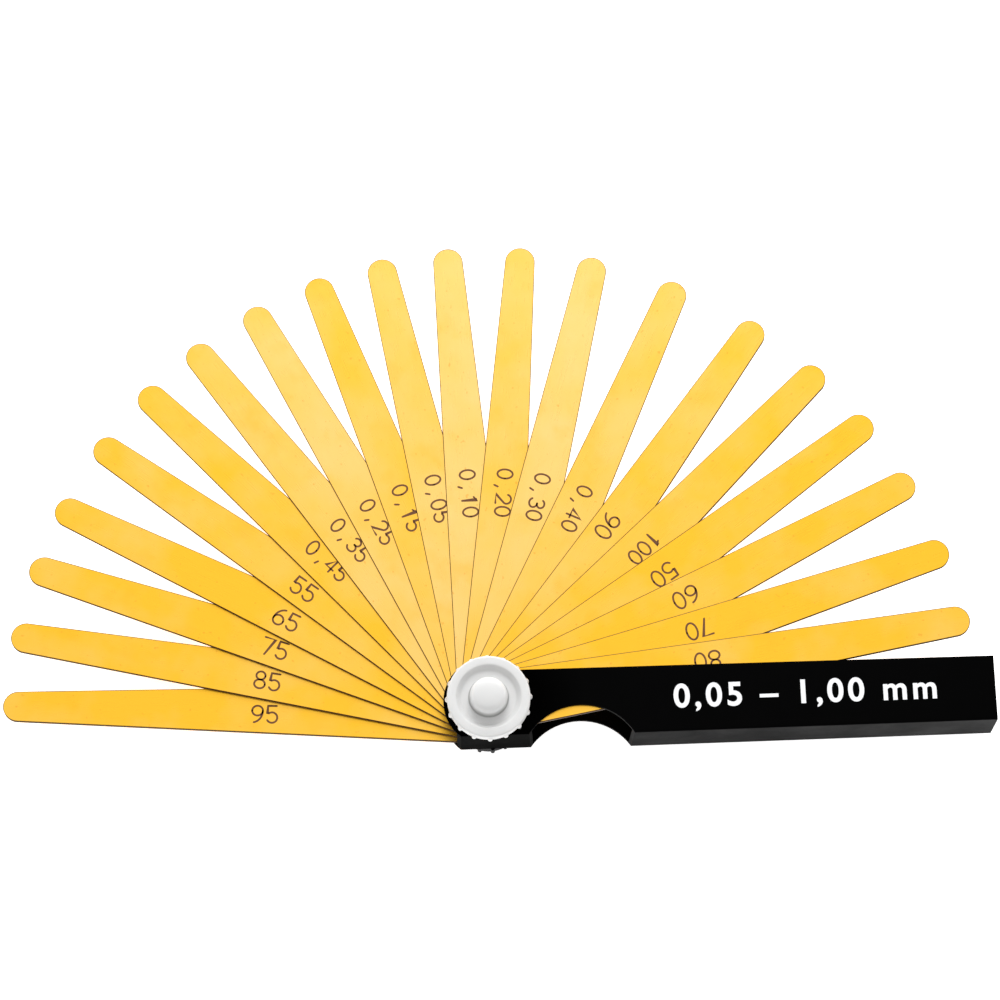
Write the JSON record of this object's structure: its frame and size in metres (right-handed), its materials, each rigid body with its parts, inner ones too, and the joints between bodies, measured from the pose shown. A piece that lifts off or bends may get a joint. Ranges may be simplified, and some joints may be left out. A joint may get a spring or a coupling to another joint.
{
  "type": "feeler gauge",
  "caption": "Folding feeler gauge: tapered brass leaves of stepped thickness swing out of a folded black steel holder on a pivot screw clamped by a white ribbed thumb nut.",
  "frame": {"origin": "on the pivot axis, at the flat outer face of the rear head, which is the lowest plane", "axes": "+Z along the pivot towards the thumb nut, +X along the holder from the pivot to its square end, +Y towards the holder's open side"},
  "size_m": [0.1909, 0.1022, 0.0214],
  "materials": {
    "leaf_brass": "bright rolled",
    "insert_brass": "turned",
    "black_paint": "satin black",
    "black_plastic": "satin",
    "white_plastic": "satin",
    "steel": "zinc plated"
  },
  "bodies": {
    "holder": {"holder": "black_paint", "pivot_screw": "steel", "rear_head": "black_plastic", "nut_washer": "steel"},
    "thumb_nut": {"thumb_nut": "white_plastic", "nut_insert": "insert_brass"},
    "leaf_095": {"leaf_095": "leaf_brass"},
    "leaf_085": {"leaf_085": "leaf_brass"},
    "leaf_075": {"leaf_075": "leaf_brass"},
    "leaf_065": {"leaf_065": "leaf_brass"},
    "leaf_055": {"leaf_055": "leaf_brass"},
    "leaf_045": {"leaf_045": "leaf_brass"},
    "leaf_035": {"leaf_035": "leaf_brass"},
    "leaf_025": {"leaf_025": "leaf_brass"},
    "leaf_015": {"leaf_015": "leaf_brass"},
    "leaf_005": {"leaf_005": "leaf_brass"},
    "leaf_010": {"leaf_010": "leaf_brass"},
    "leaf_020": {"leaf_020": "leaf_brass"},
    "leaf_030": {"leaf_030": "leaf_brass"},
    "leaf_040": {"leaf_040": "leaf_brass"},
    "leaf_090": {"leaf_090": "leaf_brass"},
    "leaf_100": {"leaf_100": "leaf_brass"},
    "leaf_050": {"leaf_050": "leaf_brass"},
    "leaf_060": {"leaf_060": "leaf_brass"},
    "leaf_070": {"leaf_070": "leaf_brass"},
    "leaf_080": {"leaf_080": "leaf_brass"}
  },
  "joints": [
    {"name": "leaf_095_swing", "type": "hinge", "parent": "holder", "child": "leaf_095", "pos_m": [0, 0, 0.00384], "axis": [0, 0, 1], "range_deg": [-178.5, 4]},
    {"name": "leaf_085_swing", "type": "hinge", "parent": "holder", "child": "leaf_085", "pos_m": [0, 0, 0.00475], "axis": [0, 0, 1], "range_deg": [-170, 12.5]},
    {"name": "leaf_075_swing", "type": "hinge", "parent": "holder", "child": "leaf_075", "pos_m": [0, 0, 0.00557], "axis": [0, 0, 1], "range_deg": [-161.5, 21]},
    {"name": "leaf_065_swing", "type": "hinge", "parent": "holder", "child": "leaf_065", "pos_m": [0, 0, 0.00628], "axis": [0, 0, 1], "range_deg": [-153.5, 29]},
    {"name": "leaf_055_swing", "type": "hinge", "parent": "holder", "child": "leaf_055", "pos_m": [0, 0, 0.0069], "axis": [0, 0, 1], "range_deg": [-144.5, 38]},
    {"name": "leaf_045_swing", "type": "hinge", "parent": "holder", "child": "leaf_045", "pos_m": [0, 0, 0.00741], "axis": [0, 0, 1], "range_deg": [-136, 46.5]},
    {"name": "leaf_035_swing", "type": "hinge", "parent": "holder", "child": "leaf_035", "pos_m": [0, 0, 0.00783], "axis": [0, 0, 1], "range_deg": [-128, 54.5]},
    {"name": "leaf_025_swing", "type": "hinge", "parent": "holder", "child": "leaf_025", "pos_m": [0, 0, 0.00814], "axis": [0, 0, 1], "range_deg": [-119.5, 63]},
    {"name": "leaf_015_swing", "type": "hinge", "parent": "holder", "child": "leaf_015", "pos_m": [0, 0, 0.00836], "axis": [0, 0, 1], "range_deg": [-111, 71.5]},
    {"name": "leaf_005_swing", "type": "hinge", "parent": "holder", "child": "leaf_005", "pos_m": [0, 0, 0.00847], "axis": [0, 0, 1], "range_deg": [-102.8, 79.7]},
    {"name": "leaf_010_swing", "type": "hinge", "parent": "holder", "child": "leaf_010", "pos_m": [0, 0, 0.00856], "axis": [0, 0, 1], "range_deg": [-94.5, 88]},
    {"name": "leaf_020_swing", "type": "hinge", "parent": "holder", "child": "leaf_020", "pos_m": [0, 0, 0.00873], "axis": [0, 0, 1], "range_deg": [-85.5, 97]},
    {"name": "leaf_030_swing", "type": "hinge", "parent": "holder", "child": "leaf_030", "pos_m": [0, 0, 0.00899], "axis": [0, 0, 1], "range_deg": [-76.5, 106]},
    {"name": "leaf_040_swing", "type": "hinge", "parent": "holder", "child": "leaf_040", "pos_m": [0, 0, 0.00936], "axis": [0, 0, 1], "range_deg": [-66, 116.5]},
    {"name": "leaf_090_swing", "type": "hinge", "parent": "holder", "child": "leaf_090", "pos_m": [0, 0, 0.01002], "axis": [0, 0, 1], "range_deg": [-55, 127.5]},
    {"name": "leaf_100_swing", "type": "hinge", "parent": "holder", "child": "leaf_100", "pos_m": [0, 0, 0.01099], "axis": [0, 0, 1], "range_deg": [-45.5, 137]},
    {"name": "leaf_050_swing", "type": "hinge", "parent": "holder", "child": "leaf_050", "pos_m": [0, 0, 0.01175], "axis": [0, 0, 1], "range_deg": [-36.8, 145.7]},
    {"name": "leaf_060_swing", "type": "hinge", "parent": "holder", "child": "leaf_060", "pos_m": [0, 0, 0.01232], "axis": [0, 0, 1], "range_deg": [-27.8, 154.7]},
    {"name": "leaf_070_swing", "type": "hinge", "parent": "holder", "child": "leaf_070", "pos_m": [0, 0, 0.01299], "axis": [0, 0, 1], "range_deg": [-18.3, 164.2]},
    {"name": "leaf_080_swing", "type": "hinge", "parent": "holder", "child": "leaf_080", "pos_m": [0, 0, 0.01375], "axis": [0, 0, 1], "range_deg": [-9.5, 173]},
    {"name": "thumb_nut_turn", "type": "hinge", "parent": "holder", "child": "thumb_nut", "pos_m": [0, 0, 0.01776], "axis": [0, 0, 1], "range_deg": [0, 180]}
  ]
}
